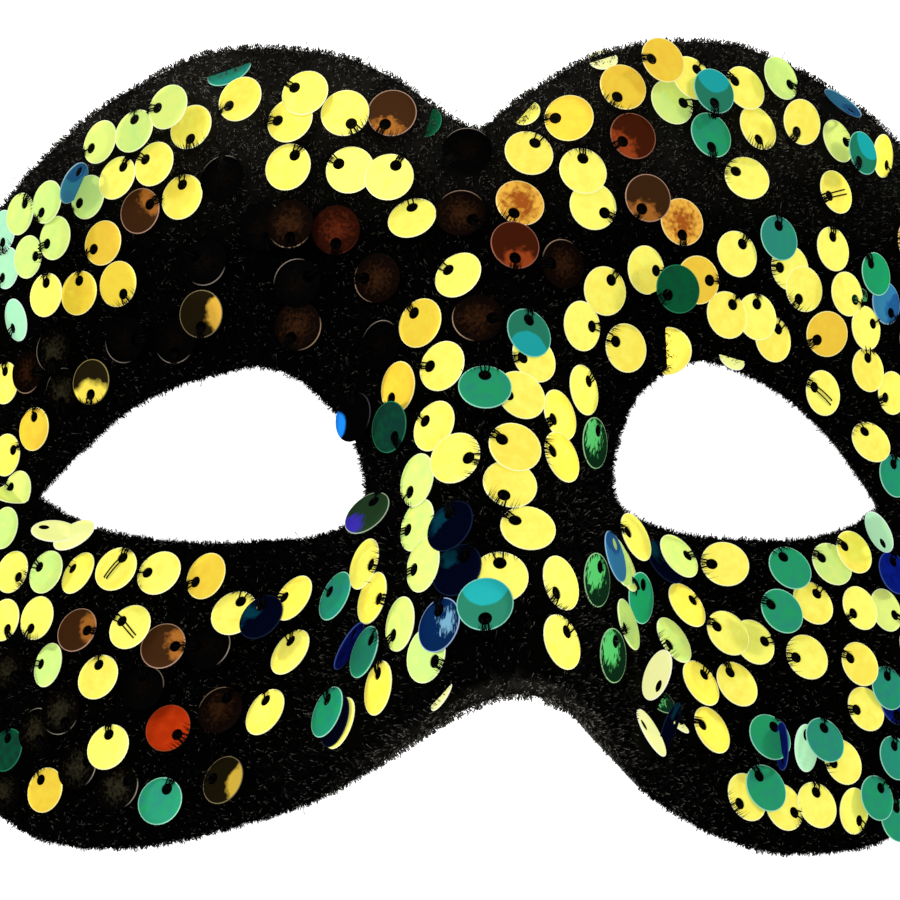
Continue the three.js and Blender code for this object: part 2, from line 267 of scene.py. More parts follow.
# Sequins as the photograph shows them: the pixel of the middle, the clock direction of the hole,
# the finish's letter, and for some a kind: f folded, e edge-on, l leaning like a leaf, b bent back,
# d dug in at its stitch, h sunk in the pile by half, s a small bit, t on top of its neighbours,
# x with threads on its face.
SEQUIN_CHART = {
    "left_brow": """
        20,214,1L 3,231,6M 7,268,7M 28,257,3L 47,202,7L 55,238,8L 74,183,1Bl 88,197,8L 100,142,8L
        134,131,12L 168,107,9L 191,127,6Y 117,178,1Y 154,164,10Y 182,197,12Y 140,211,2A 222,178,12K
        103,243,8O 118,284,5O 46,295,12Y 79,293,12O 16,320,7Md 227,69,12Th 240,99,8Y 305,93,10Y
        290,120,9Y 288,167,1Y 262,226,5K 290,224,6D 297,283,2K 298,326,7D 205,262,10K 201,314,6H
        125,340,3K 175,340,6K 53,350,6Z 27,372,3D 62,390,6Z 91,382,6I 5,383,12Y 34,429,12O 6,455,2Y
        345,113,5Y 392,113,7A 350,170,10Y 389,177,1Yt 467,150,8K 429,121,9Gs
    """,
    "right_brow": """
        529,153,1Y 527,111,10Ys 569,118,9Od 583,171,12Y 605,58,11Qs 623,87,7O 663,60,9O 692,78,1Y
        672,102,3L 714,91,6Xt 745,88,10Y 758,128,6Y 711,135,6T 633,136,8R 781,78,4L 802,122,7Yd
        747,178,10Yd 648,198,7A 682,222,6C 737,254,1Y 646,270,3Yd 698,280,3O 678,289,8Gt 779,238,12T
        790,268,9Y 804,289,7Yt 836,192,8Yx 833,249,12Y 843,103,4Be 838,141,3L 863,153,7Xt 883,156,5Yd
        876,274,11T 886,303,5B 847,294,4Y 862,300,6Ss 727,315,1Y 757,317,12Y 773,339,1Y 827,334,8Od
        866,328,2Y 670,350,9Yh 735,358,12Qs 868,370,12Y 823,393,10Yx 871,442,11Yd 892,393,8Y 894,476,12T
    """,
    "bridge_and_nose": """
        336,230,6E 412,218,12Yd 461,213,4D 520,203,7C 515,245,6Rt 563,264,9D 593,206,4Y 377,278,9D
        458,275,10Yd 420,323,11O 478,318,3D 529,333,12X 534,358,9Y 521,395,9Y 560,415,8Y 515,447,10Y
        562,457,10Y 510,484,7Y 528,528,10Yd 485,387,12Tt 442,366,9Y 398,387,7O 389,427,5Gt 380,345,8K
        434,426,10Y 455,458,3Y 417,480,7L 417,525,8L 367,513,1Vb 353,417,12P 450,526,12N 457,570,1N
        423,565,8L 364,564,3Y 372,598,3Y 335,596,10T 400,624,7L 439,625,12U 426,655,4L 485,604,6Xt
        500,577,12Y 561,583,7Y 562,642,1Y 349,646,1We 364,652,1T 378,688,12Y 335,721,12N 340,723,12Y
        436,695,11Qs 607,559,12B 614,563,12L 597,580,12Sl 605,291,1Y 626,348,10Y 582,326,3Y 595,443,12Sl
        584,390,1Y 636,537,10Y 625,567,5L 641,598,12Tl 626,625,8L 611,656,12Sl 649,733,11Qe
    """,
    "left_cheek": """
        17,492,10Lf 4,528,8L 54,531,9Ql 74,535,8Ql 12,572,4Y 46,572,10Lt 78,573,10Yd 116,569,1Yx
        159,573,9Y 206,576,8Od 234,613,1Y 261,617,12Nt 293,598,9Y 37,618,7Y 77,630,3A 4,620,5Y
        130,627,10Yx 163,646,3A 208,647,9K 290,652,12Y 48,665,9Ld 98,677,12Y 7,670,4Z 142,688,12K
        60,712,5Z 35,730,5Z 7,750,12G 108,747,12Y 168,728,4F 220,710,1D 265,712,12Y 77,767,2Z 45,790,11O
        4,792,6Z 117,787,2Z 160,801,1T 223,780,9J 327,712,12T
    """,
    "right_cheek": """
        665,562,12N 679,556,3L 725,564,9Yd 790,568,11T 832,564,10L 854,552,10Y 879,532,5Ml 894,573,12W
        782,611,10Tt 813,603,1Y 687,605,2Y 860,608,8Y 886,610,4L 728,633,10Y 754,642,3Y 674,640,8L
        657,675,7Ql 701,683,1Y 737,684,11Y 712,730,10Y 807,657,9Y 860,664,10Y 866,709,9Y 806,748,12Ml
        825,740,12T 843,762,9Y 770,737,1T 782,746,6We 766,788,11T 784,807,4Y 747,797,8Y 817,805,12Y
        854,811,5Yd 877,798,1T 888,688,12T 896,703,6W 895,758,12T 897,820,12T 670,727,1Ne 683,722,12Qs
        668,700,11Ss
    """,
}
KINDS = "bdefhlstx"


def lengths(vectors):
    return np.linalg.norm(vectors, axis=-1)


def unit(vectors):
    return vectors / lengths(vectors)[..., None]


def unit_ring(sides):
    turn = np.linspace(0, 2 * np.pi, sides, endpoint=False)
    return np.stack([np.cos(turn), np.sin(turn)], -1)


# The camera's axes

VIEW = np.array([math.sin(YAW) * math.cos(PITCH), math.sin(PITCH), math.cos(YAW) * math.cos(PITCH)])
LEVEL_RIGHT = unit(np.cross([0, 1, 0], VIEW))
LEVEL_UP = np.cross(VIEW, LEVEL_RIGHT)
CAMERA_RIGHT = math.cos(ROLL) * LEVEL_RIGHT + math.sin(ROLL) * LEVEL_UP
CAMERA_UP = math.cos(ROLL) * LEVEL_UP - math.sin(ROLL) * LEVEL_RIGHT
CAMERA_PLACE = TARGET + CAMERA_DISTANCE * VIEW
FOCAL_PIXELS = PIXELS_PER_MM * CAMERA_DISTANCE


# The form

def nose_height(x, y):
    down = np.clip((NOSE_TOP_Y - y) / NOSE_LENGTH, 0, 1)
    half_width = NOSE_HALF_WIDTH + NOSE_FLARE * np.maximum(NOSE_TOP_Y - y, 0)
    swell = np.sin(0.5 * np.pi * down ** NOSE_LAG) ** 2
    return NOSE_RISE * swell * np.exp(-np.abs(x / half_width) ** NOSE_ROUNDNESS)


def face_height(x, y):
    across = np.clip(x / FACE_HALF_WIDTH, -1, 1)
    return FACE_DEPTH * np.sqrt(1 - across ** 2) - TABLE_CUT + nose_height(x, y)


def face_point(place):
    """The point of the velvet's face at each [degrees, y] place."""
    angle = np.radians(place[..., 0])
    y = place[..., 1]
    x = FACE_HALF_WIDTH * np.sin(angle)
    return np.stack([x, y, FACE_DEPTH * np.cos(angle) - TABLE_CUT + nose_height(x, y)], -1)


def face_slopes(place):
    """How far the face's point moves for a degree across and for a millimetre along."""
    across = np.array([SMALL_STEP, 0])
    along = np.array([0, SMALL_STEP])
    return (
        (face_point(place + across) - face_point(place - across)) / (2 * SMALL_STEP),
        (face_point(place + along) - face_point(place - along)) / (2 * SMALL_STEP),
    )


def face_normal(place):
    return unit(np.cross(*face_slopes(place)))


def smooth(points, steps):
    """Evenly spaced places on the centripetal Catmull-Rom curve through the given ones."""
    knots = np.array(points, float)
    knots = np.concatenate([[2 * knots[0] - knots[1]], knots, [2 * knots[-1] - knots[-2]]])
    share = np.linspace(0, 1, CURVE_SAMPLES, endpoint=False)[:, None]
    pieces = []
    for p0, p1, p2, p3 in zip(knots, knots[1:], knots[2:], knots[3:]):
        d0, d1, d2 = (lengths(b - a) ** 0.5 for a, b in ((p0, p1), (p1, p2), (p2, p3)))
        leave = ((p1 - p0) / d0 - (p2 - p0) / (d0 + d1) + (p2 - p1) / d1) * d1
        arrive = ((p2 - p1) / d1 - (p3 - p1) / (d1 + d2) + (p3 - p2) / d2) * d1
        bend = 2 * p1 - 2 * p2 + leave + arrive
        slope = -3 * p1 + 3 * p2 - 2 * leave - arrive
        pieces.append(p1 + leave * share + slope * share ** 2 + bend * share ** 3)
    curve = np.concatenate([*pieces, knots[-2:-1]])
    length = np.concatenate([[0], np.cumsum(lengths(np.diff(curve, axis=0)))])
    even = np.linspace(0, length[-1], steps + 1)
    return np.stack([np.interp(even, length, curve[:, k]) for k in (0, 1)], -1)


def half_edge(half):
    """The edge of a half from the nose arch along the bottom, the side and the top to the notch."""
    bottom = smooth(half.bottom, BOTTOM_STEPS)
    top = smooth(half.top, TOP_STEPS)
    side = smooth([bottom[-1], top[0]], SIDE_STEPS)
    return np.concatenate([bottom[:-1], side[:-1], top])


def square_to(loop):
    """At each place of a closed loop, the unit vector along the face and square to the loop."""
    points = face_point(loop)
    ahead = np.roll(points, -1, 0) - np.roll(points, 1, 0)
    return unit(np.cross(unit(ahead), face_normal(loop)))


def into_eye(half, loop):
    """At each place of a loop round an eye hole, the unit vector that points into the hole."""
    way = square_to(loop)
    away = face_point(loop) - face_point(half.eye_middle)
    return -way if (away * way).sum() > 0 else way


def moved(places, vectors):
    """The places reached from others by going along small vectors of the face."""
    across, along = face_slopes(places)
    a, b, c = ((across * across).sum(-1), (across * along).sum(-1), (along * along).sum(-1))
    p, q = ((vectors * across).sum(-1), (vectors * along).sum(-1))
    det = a * c - b * b
    return places + np.stack([(p * c - q * b) / det, (q * a - p * b) / det], -1)


def edge_allowance(loop, way):
    """How much further in an edge lies where the camera also sees the layers under its rim."""
    seen = np.stack([CAMERA_RIGHT, CAMERA_UP])
    normal, ahead = face_normal(loop) @ seen.T, way @ seen.T
    length = lengths(ahead)
    beyond = BACKING_BOTTOM * (normal * ahead).sum(1) / length
    return (np.clip(beyond, 0, None) / np.clip(length, LEAST_SLANT, None))[:, None]


def inset_edges(inset, end_degrees):
    """Both halves' edges, drawn in along the face, each with the unit vectors that point outward."""
    left, right = half_edge(LEFT), half_edge(RIGHT)
    loop = np.concatenate([left, right[-2:0:-1]])
    loop[:, 0] = np.clip(loop[:, 0], -end_degrees, end_degrees)
    way = -square_to(loop)
    loop = moved(loop, -(inset + edge_allowance(loop, way)) * way)
    last = len(left) - 1
    return [(part[: last + 1], np.concatenate([part[:1], part[last:][::-1]])) for part in (loop, way)]


def inset_eye(half, inset):
    """An eye hole's edge, with the velvet drawn back from it along the face."""
    loop = smooth(half.eye, EYE_STEPS)[:-1]
    return moved(loop, -inset * into_eye(half, loop))


def eye_edge_towards(middle, loop, targets):
    """Where the rays from the eye hole's middle towards the targets cross the hole's edge."""

    def bearing(places):
        away = places - middle
        return np.arctan2(away[:, 1] * math.radians(FACE_HALF_WIDTH), away[:, 0])

    angles = bearing(loop)
    order = np.argsort(angles)
    wanted = bearing(targets)
    return np.stack([np.interp(wanted, angles[order], loop[order, k], period=2 * np.pi) for k in (0, 1)], -1)


# Camera rays

def pixel_across(points):
    """How far across the photograph's frame each point lies, in pixels."""
    away = points - CAMERA_PLACE
    return 0.5 * FRAME_PIXELS - FOCAL_PIXELS * (away @ CAMERA_RIGHT) / (away @ VIEW)


def seen_place(px, py):
    """The place of the face that the photograph shows at a pixel."""
    half_frame = FRAME_PIXELS / 2
    ray = unit((px - half_frame) * CAMERA_RIGHT + (half_frame - py) * CAMERA_UP - FOCAL_PIXELS * VIEW)
    reach = np.arange(*RAY_REACH, RAY_STEP)
    points = CAMERA_PLACE + reach[:, None] * ray
    x, y, _ = points[np.argmax(points[:, 2] < face_height(points[:, 0], points[:, 1]))]
    return np.array([math.degrees(math.asin(np.clip(x / FACE_HALF_WIDTH, -1, 1))), y])


# Meshes

def add_object(name, data):
    thing = bpy.data.objects.new(name, data)
    bpy.context.scene.collection.objects.link(thing)
    return thing


def make_piece(name, points, faces, materials, slot, finish_of_face=None):
    """A mesh piece from points in millimetres and faces that all have as many corners."""
    faces = np.asarray(faces, np.int32)
    mesh = bpy.data.meshes.new(name)
    mesh.vertices.add(len(points))
    mesh.vertices.foreach_set("co", (points * MM).astype(np.float32).ravel())
    mesh.loops.add(faces.size)
    mesh.loops.foreach_set("vertex_index", faces.ravel())
    mesh.polygons.add(len(faces))
    mesh.polygons.foreach_set("loop_start", np.arange(0, faces.size, faces.shape[1], dtype=np.int32))
    mesh.update(calc_edges=True)
    mesh.shade_smooth()
    mesh.set_sharp_from_angle(angle=CREASE)
    for material in materials:
        mesh.materials.append(material)
    if finish_of_face is not None:
        mesh.polygons.foreach_set("material_index", np.asarray(finish_of_face, np.int32))
    piece = add_object(name, mesh)
    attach(piece, "root")
    return piece


def give_attribute(piece, name, values):
    """A number, or a vector, for every point of a piece, that its finish reads."""
    kind, field = ("FLOAT", "value") if values.ndim == 1 else ("FLOAT_VECTOR", "vector")
    attribute = piece.data.attributes.new(name, kind, "POINT")
    attribute.data.foreach_set(field, values.astype(np.float32).ravel())


def grid_faces(rows, columns, closed_rows=False, closed_columns=False):
    """Quads of a rows by columns grid of points that are numbered row by row."""
    r = np.arange(rows if closed_rows else rows - 1)
    c = np.arange(columns if closed_columns else columns - 1)
    r, c = (g.ravel() for g in np.meshgrid(r, c, indexing="ij"))
    below, beside = (r + 1) % rows * columns, (c + 1) % columns
    return np.stack([r * columns + c, below + c, below + beside, r * columns + beside], -1)


def halved(quads):
    return np.concatenate([quads[:, [0, 1, 2]], quads[:, [0, 2, 3]]])


def columns(rows):
    """Each column of some rows of arrays, as one array."""
    return [np.concatenate(column) for column in zip(*rows)]


def joined(parts):
    """Many meshes, each with its points and faces, as one."""
    starts = np.cumsum([0] + [len(points) for points, _ in parts])
    faces = np.concatenate([faces + start for (_, faces), start in zip(parts, starts)])
    return np.concatenate([points for points, _ in parts]), faces


def weld(points, faces):
    """Merges points that lie together, and tells which triangles this leaves whole."""
    keys, index = np.unique(np.round(points, WELD_DECIMALS), axis=0, return_inverse=True)
    merged = index.reshape(-1)[faces]
    a, b, c = merged.T
    return keys, merged, (a != b) & (b != c) & (c != a)


def shell(lift_top, lift_bottom, inset, bulge, end_degrees):
    """A closed skin round the form between two lifts, with round edges.

    Gives its points, its triangles, and for each triangle whether it is top, underside or edge.
    """
    (left_edge, right_edge), (left_way, right_way) = inset_edges(inset, end_degrees)
    middle_line = smooth([left_edge[-1], left_edge[0]], CENTRE_STEPS)
    roll = np.linspace(0, np.pi, ROLL_STEPS + 1)
    drop = lift_top - 0.5 * (lift_top - lift_bottom) * (1 - np.cos(roll))
    parts, sides = [], []

    def add(grid, flip, closed_rows, side):
        triangles = halved(grid_faces(*grid.shape[:2], closed_rows=closed_rows))
        parts.append((grid.reshape(-1, 3), triangles if flip else triangles[:, ::-1]))
        sides.append(np.full(len(triangles), side))

    for half, edge, way in ((LEFT, left_edge, left_way), (RIGHT, right_edge, right_way)):
        is_left = half is LEFT
        eye_loop = inset_eye(half, inset + EYE_INSET - CLOTH_INSET)
        border = np.concatenate([middle_line[:-1], edge[:-1]])
        inner = eye_edge_towards(half.eye_middle, eye_loop, border)
        corner = eye_loop[np.argmin(lengths(eye_loop - half.eye[0]))]
        inner[np.argmin(lengths(inner - corner))] = corner
        share = np.linspace(0, 1, RINGS + 1)[None, :, None]
        places = inner[:, None] + share * (border - inner)[:, None]
        base, normal = face_point(places), face_normal(places)
        add(base + lift_top * normal, is_left, True, "top")
        add(base + lift_bottom * normal, not is_left, True, "underside")
        for rim, rim_way, is_loop in ((inner, into_eye(half, inner), True), (edge, way, False)):
            bow = bulge * np.sin(roll)[None, :, None] * rim_way[:, None]
            sunk = face_point(rim)[:, None] + drop[None, :, None] * face_normal(rim)[:, None]
            add(sunk + bow, is_left != is_loop, is_loop, "edge")
    points, faces, whole = weld(*joined(parts))
    points[:, 2] = np.maximum(points[:, 2], 0)
    return points, faces[whole], np.concatenate(sides)[whole]


# The velvet and the form beneath

def sampled(points, triangles, count):
    """Random points of a mesh, evenly by area, with its normals there."""
    corners = points[triangles]
    cross = np.cross(corners[:, 1] - corners[:, 0], corners[:, 2] - corners[:, 0])
    area = lengths(cross)
    chosen = rng.choice(len(triangles), count, p=area / area.sum())
    a, b = rng.random((2, count, 1))
    a, b = np.where(a + b > 1, 1 - a, a), np.where(a + b > 1, 1 - b, b)
    p, q, r = corners[chosen].transpose(1, 0, 2)
    return p + a * (q - p) + b * (r - p), unit(cross[chosen])


def covered(points, sequins):
    """Which of the points lie under or over a sequin that isn't sunk in the pile."""
    hidden = np.zeros(len(points), bool)
    for sequin in sequins:
        if sequin.kind in SUNK:
            continue
        away = points - sequin.centre
        height = away @ sequin.normal
        across = (away ** 2).sum(1) - height ** 2
        hidden |= (across < (sequin.size * COVERED_RADIUS) ** 2) & (np.abs(height) < COVERED_DEPTH)
    return hidden


def neighbours(sequin, sequins):
    return [s for s in sequins if s is not sequin and lengths(s.centre - sequin.centre) < 2 * SEQUIN_RADIUS]


def painted_sheen(roots):
    """How pale the pile is: painted sheen where it catches the light, on the brow and in a band round the
    nose arch.
    """
    x, y, _ = roots.T
    along = np.interp(x, ARCH_X, ARCH_SHEEN)
    brow = np.interp(x, BROW_X, BROW_SHEEN) * np.interp(y, BROW_Y, (0, 1))
    edges = [smooth(half.bottom, BOTTOM_STEPS) for half in (LEFT, RIGHT)]
    arch = face_point(np.concatenate([edge[np.abs(edge[:, 0]) < ARCH_DEGREES] for edge in edges]))
    reach = np.full(len(roots), np.inf)
    for point in arch:
        reach = np.minimum(reach, lengths(roots - point))
    middle, width = ARCH_BAND
    return np.clip(brow + along * np.exp(-((reach - middle) / width) ** 2), 0, 1)


def fuzz(sequins):
    """Roots, tips and widths of fibres that lean over each sequin's rim where it is stitched down."""
    fibres = []
    for sequin in sequins:
        if sequin.kind not in (*LEANING, *SUNK):
            side = rng.choice(FUZZ_HALF_WIDTHS) * rng.normal(size=FUZZ_FIBRES)
            rim = np.sqrt(SEQUIN_RADIUS ** 2 - np.minimum(side ** 2, FUZZ_WIDEST ** 2))
            reach = rng.uniform(*FUZZ_REACH, FUZZ_FIBRES)
            drift = side + FUZZ_DRIFT * rng.normal(size=FUZZ_FIBRES)
            away = rim + FUZZ_ROOT_AWAY[0] + FUZZ_ROOT_AWAY[1] * reach
            deep = np.full(FUZZ_FIBRES, FUZZ_ROOT_DEPTH)
            high = FUZZ_TIP_HEIGHT[0] + FUZZ_TIP_HEIGHT[1] * reach
            root = in_place(np.column_stack([away, side, deep]), sequin)
            tip = in_place(np.column_stack([rim - reach, drift, high]), sequin)
            free = ~covered(tip, neighbours(sequin, sequins))
            fibres.append((root[free], tip[free], np.full(free.sum(), FIBRE_WIDTH)))
    return columns(fibres)


def tuft_centres(points, triangles):
    """Points that the fibres round them lean towards, in a kd-tree."""
    centres, _ = sampled(points, triangles, TUFTS)
    tree = KDTree(len(centres))
    for index, centre in enumerate(centres):
        tree.insert(centre, index)
    tree.balance()
    return tree


def fibre_tips(roots, normals, tree, length, spread, pull):
    found = [tree.find(root) for root in roots]
    gathered = np.array([centre for centre, _, _ in found]) - roots
    gathered -= (gathered * normals).sum(1, keepdims=True) * normals
    tuft_lean = TUFT_LEAN * rng.normal(size=(TUFTS, 3))[[index for _, index, _ in found]]
    lean = pull * gathered + tuft_lean + spread * rng.normal(size=roots.shape)
    tall = length * (1 - FIBRE_VARIETY * rng.random((len(roots), 1)))
    return roots + tall * unit(normals + lean)


def spikes(roots, tips, widths):
    """A slim closed spike of four triangles for each fibre."""
    along = unit(tips - roots)
    side = unit(np.cross(along, rng.normal(size=roots.shape)))
    other = np.cross(along, side)
    foot = [roots + 0.5 * widths * (a * side + b * other) for a, b in unit_ring(3)]
    points = np.stack([*foot, tips], 1).reshape(-1, 3)
    corners = np.array([[0, 2, 1], [0, 1, 3], [1, 2, 3], [2, 0, 3]])
    faces = (4 * np.arange(len(roots))[:, None, None] + corners[None]).reshape(-1, 3)
    return points, faces


def standing_fibres(points, faces, sides, sequins):
    """Roots, tips and widths of the fibres that stand on the cloth, clear of the sequins."""
    tree = tuft_centres(points, faces[sides != "underside"])
    fibres = []
    for side, (count, length, width, spread, pull) in PILE.items():
        area = faces[sides == side] if side != "any" else faces[sides != "underside"]
        found, normals = sampled(points, area, count)
        kept = ~covered(found, sequins)
        found, normals = found[kept], normals[kept]
        reached = fibre_tips(found, normals, tree, length, spread, pull)
        kept = ~covered(reached, sequins) & (reached[:, 2] > 0)
        fibres.append((found[kept], reached[kept], np.full(kept.sum(), width)))
    return columns(fibres)


def fibre_sheen_and_flecks(roots, dark_from):
    """How pale each fibre is: painted sheen by its place, with pale flecks at random. Those from a given one
    on are as dark as their place allows.
    """
    pale, chance = painted_sheen(roots), rng.random(len(roots))
    chance[dark_from:] = 0
    fleck = np.interp(roots[:, 1], FLECK_Y, FLECKS) * chance ** DARK_POWER
    return pale * (SHEEN_LEAST + SHEEN_SPREAD * chance ** SHEEN_POWER) + (1 - pale) * fleck


def make_velvet(sequins, finish):
    points, faces, sides = shell(CLOTH_TOP, CLOTH_BOTTOM, CLOTH_INSET, CLOTH_BULGE, VELVET_END)
    cloth = make_piece("velvet_cloth", points, faces, [finish], "velvet")
    # The cloth between the fibres takes the painted sheen too.
    give_attribute(cloth, "shade", CLOTH_SHEEN * painted_sheen(points))
    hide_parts("velvet_cover")
    standing = standing_fibres(points, faces, sides, sequins)
    roots, tips, widths = columns([standing, fuzz(sequins)])
    pale = fibre_sheen_and_flecks(roots, len(standing[0]))[:, None]
    is_fleck = pale > FLECK_FROM
    feet, ends = np.where(is_fleck, tips, roots), np.where(is_fleck, roots, tips)
    # Painted shade at a fibre's root, down in the pile, and a painted highlight at its tip.
    shades = pale * np.where(is_fleck, FLECK_SHADE, FIBRE_SHADE)
    for half, is_half in (("left", roots[:, 0] < 0), ("right", roots[:, 0] >= 0)):
        for part, is_part in (("upper", roots[:, 1] >= 0), ("lower", roots[:, 1] < 0)):
            here = is_half & is_part
            points, faces = spikes(feet[here], ends[here], widths[here, None])
            pile = make_piece(f"pile_{part}_{half}", points, faces, [finish], "velvet")
            give_attribute(pile, "shade", shades[here].ravel())


def make_backing(finish):
    points, faces, _ = shell(BACKING_TOP, BACKING_BOTTOM, BACKING_INSET, BACKING_BULGE, BACKING_END)
    backing = make_piece("moulded_form", points, faces, [finish], "backing")
    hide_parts("moulded_backing")


# Sequins

def image_to_face(direction, normal):
    """The vector along a face with that normal that the camera sees in an image direction."""
    flat = direction[0] * CAMERA_RIGHT + direction[1] * CAMERA_UP
    return unit(flat - VIEW * (flat @ normal) / max(VIEW @ normal, LEAST_FACING))


def clock_direction(hour):
    angle = 2 * math.pi * hour / 12
    return np.array([math.sin(angle), math.cos(angle)])


def read_chart():
    """The charted sequins: place on the face, hole's direction in the image, colour and kind."""
    found = []
    for region in SEQUIN_CHART.values():
        for entry in region.split():
            px, py, rest = entry.split(",")
            kind = rest[-1] if rest[-1] in KINDS else ""
            look = rest.removesuffix(kind)
            found.append((seen_place(float(px), float(py)), clock_direction(int(look[:-1])), look[-1], kind))
    return found


def laying_order(entry):
    """Sequins nearer the brow lie over those below them, like scales, but for the sunk and the top ones."""
    place, _, _, kind = entry
    return kind == "t", kind not in SUNK, place[1]


def is_within(place, loop):
    """Whether a loop goes round a place, by how often a ray from it crosses the loop."""
    a, b = loop.T
    c, d = np.roll(loop, -1, 0).T
    crosses = (b > place[1]) != (d > place[1])
    with np.errstate(divide="ignore", invalid="ignore"):
        before = place[0] < a + (c - a) * (place[1] - b) / (d - b)
    return (crosses & before).sum() % 2 == 1


def is_clear_of_edges(place, edges):
    foot = face_point(place)
    return lengths(edges - foot).min() > EDGE_MARGIN and foot[2] > EDGE_MARGIN


def scatter_wings(charted):
    """More sequins, strewn over what the photograph's frame cuts off."""
    left, right = inset_edges(0, VELVET_END)[0]
    edges = face_point(np.concatenate([left, right]))
    outline = np.concatenate([left, right[::-1]])
    taken = [face_point(place) for place, *_ in charted]
    found = []
    for _ in range(WING_TRIES):
        place = rng.uniform([-WING_END, -WING_HALF_HEIGHT], [WING_END, WING_HALF_HEIGHT])
        foot = face_point(place)
        is_outside_frame = not 0 < pixel_across(foot) < FRAME_PIXELS
        is_free = lengths(np.array(taken) - foot).min() > WING_SPACING
        if is_outside_frame and is_free and is_within(place, outline) and is_clear_of_edges(place, edges):
            taken.append(foot)
            way = clock_direction(rng.integers(1, 13))
            found.append((place, way, rng.choice(list(WING_COLOURS)), ""))
    return found


def hanging_normal(place, ahead, kind):
    """A sequin's normal: it dips at its stitch, and hangs so that its lower rim stands off the pile."""
    normal, away = face_normal(place), abs(place[0])
    scatter = SEQUIN_SCATTER * rng.normal(size=3)
    if kind == "b":
        return unit(VIEW + BENT_BACK[0] * CAMERA_RIGHT + BENT_BACK[1] * CAMERA_UP + scatter)
    share = np.interp(away, FLANK_DEGREES[:2], (0, 1))
    hang = np.interp(away, FLANK_DEGREES, FLANK_HANG) * np.interp(place[1], HANG_Y, HANG)
    hang += (1 - share) * np.interp(place[1], RIDGE_Y, RIDGE_HANG)
    fan = math.copysign(share, place[0]) * np.interp(place[1], HANG_Y, FAN)
    dip = DIP.get(kind, SEQUIN_DIP)
    return unit(normal + np.array([fan, hang, 0]) + dip * ahead + scatter)


def lay_sequins(entries):
    """Each sequin's centre, axes and size, resting on the pile or on the sequins laid before it."""
    ring = unit_ring(CONTACT_SIDES)
    samples = np.concatenate([*(share * ring for share in CONTACT_RINGS), [[0, 0]]]) * SEQUIN_RADIUS
    laid = []
    for place, direction, colour, kind in entries:
        foot, way = face_point(place), face_normal(place)
        sight = unit(CAMERA_PLACE - foot)
        rise = sight / (sight @ way) if sight @ way > STEEP else way
        ahead = image_to_face(direction, way)
        is_leaning = kind in LEANING
        if is_leaning:
            lean = LEANING[kind]
            normal = math.cos(lean) * sight + math.sin(lean) * unit(np.cross(ahead, sight))
        else:
            normal = hanging_normal(place, ahead, kind)
            ahead = image_to_face(direction, normal)
        ahead = unit(ahead - (ahead @ normal) * normal)
        aside = np.cross(normal, ahead)
        size = 1 - SIDE_SHRINK * min(1, abs(place[0]) / SIDE_DEGREES) ** 2
        if kind == "s":
            size *= SMALL_SIZE
        rim = foot + size * samples @ np.stack([ahead, aside])
        sunk = (face_height(rim[:, 0], rim[:, 1]) - rim[:, 2]) * way[2]
        sink = SINK.get(kind, SEQUIN_SINK)
        centre = foot + (max(sunk.max() - sink, 0) + SEQUIN_LIFT) * rise
        if kind in SUNK:
            centre = foot - SUNK_DEPTH * way
        for other in laid:
            is_near = lengths(other.centre - centre) < 2 * SEQUIN_RADIUS
            if is_near and not is_leaning and kind not in SUNK and other.kind not in LEANING:
                away = rim + (centre - foot) - other.centre
                height = away @ other.normal
                inside = (away ** 2).sum(1) - height ** 2 < (other.size * SEQUIN_RADIUS) ** 2
                if inside.any():
                    short = SEQUIN_THICK + SEQUIN_GAP - height[inside].min()
                    centre = centre + max(short, 0) * rise / max(rise @ other.normal, LEAST_RISE)
        laid.append(SimpleNamespace(
            centre=centre, normal=normal, ahead=ahead, aside=aside, size=size, colour=colour, kind=kind,
        ))
    return laid


def folded(points, angle):
    """Points with the half beyond the fold line turned up by an angle round a small bend."""
    reach = np.maximum(points[:, 1], 0)
    arc = FOLD_RADIUS * angle
    turned = np.minimum(reach, arc) / FOLD_RADIUS
    straight = np.maximum(reach - arc, 0)
    bent = points.copy()
    bent[:, 1] = np.minimum(points[:, 1], 0) + FOLD_RADIUS * np.sin(turned) + straight * np.cos(angle)
    bent[:, 1] -= points[:, 2] * np.sin(turned)
    bent[:, 2] = FOLD_RADIUS * (1 - np.cos(turned)) + straight * np.sin(angle)
    bent[:, 2] += points[:, 2] * np.cos(turned)
    return bent


def disc():
    """A thin round disc with a hole off its middle, along +X. Gives points and quads."""
    ring = unit_ring(DISC_SIDES)
    half = 0.5 * SEQUIN_THICK
    profile = [
        (0, -half), (0, half), (0.5, half), (ROUNDED_FROM, half), (1, 0.5 * half), (1, -0.5 * half),
        (ROUNDED_FROM, -half), (0.5, -half),
    ]
    rows = []
    for share, height in profile:
        middle = np.array([HOLE_OFFSET * (1 - share), 0])
        radius = HOLE_RADIUS + share * (SEQUIN_RADIUS - HOLE_RADIUS)
        rows.append(np.column_stack([middle + radius * ring, np.full(DISC_SIDES, height)]))
    return np.concatenate(rows), grid_faces(len(profile), DISC_SIDES, True, True)


def in_place(points, sequin):
    """Points that are given along a sequin's own axes."""
    axes = np.stack([sequin.size * sequin.ahead, sequin.size * sequin.aside, sequin.normal])
    return sequin.centre + points @ axes


def make_sequins(sequins, finishes):
    flat, quads = disc()
    parts, finish_of_face, local = [], [], []
    letters = list(finishes)
    for sequin in sequins:
        shape = folded(flat, FOLD_ANGLE) if sequin.kind == "f" else flat
        parts.append((in_place(shape, sequin), quads))
        finish_of_face.append(np.full(len(quads), letters.index(sequin.colour)))
        local.append(np.column_stack([flat[:, :2] / SEQUIN_RADIUS, np.full(len(flat), rng.random())]))
    looks = list(finishes.values())
    piece = make_piece("sequins", *joined(parts), looks, "sequins", np.concatenate(finish_of_face))
    give_attribute(piece, "disc", np.concatenate(local))
    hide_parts(*[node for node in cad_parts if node.startswith("sequin_run_")])


# Threads

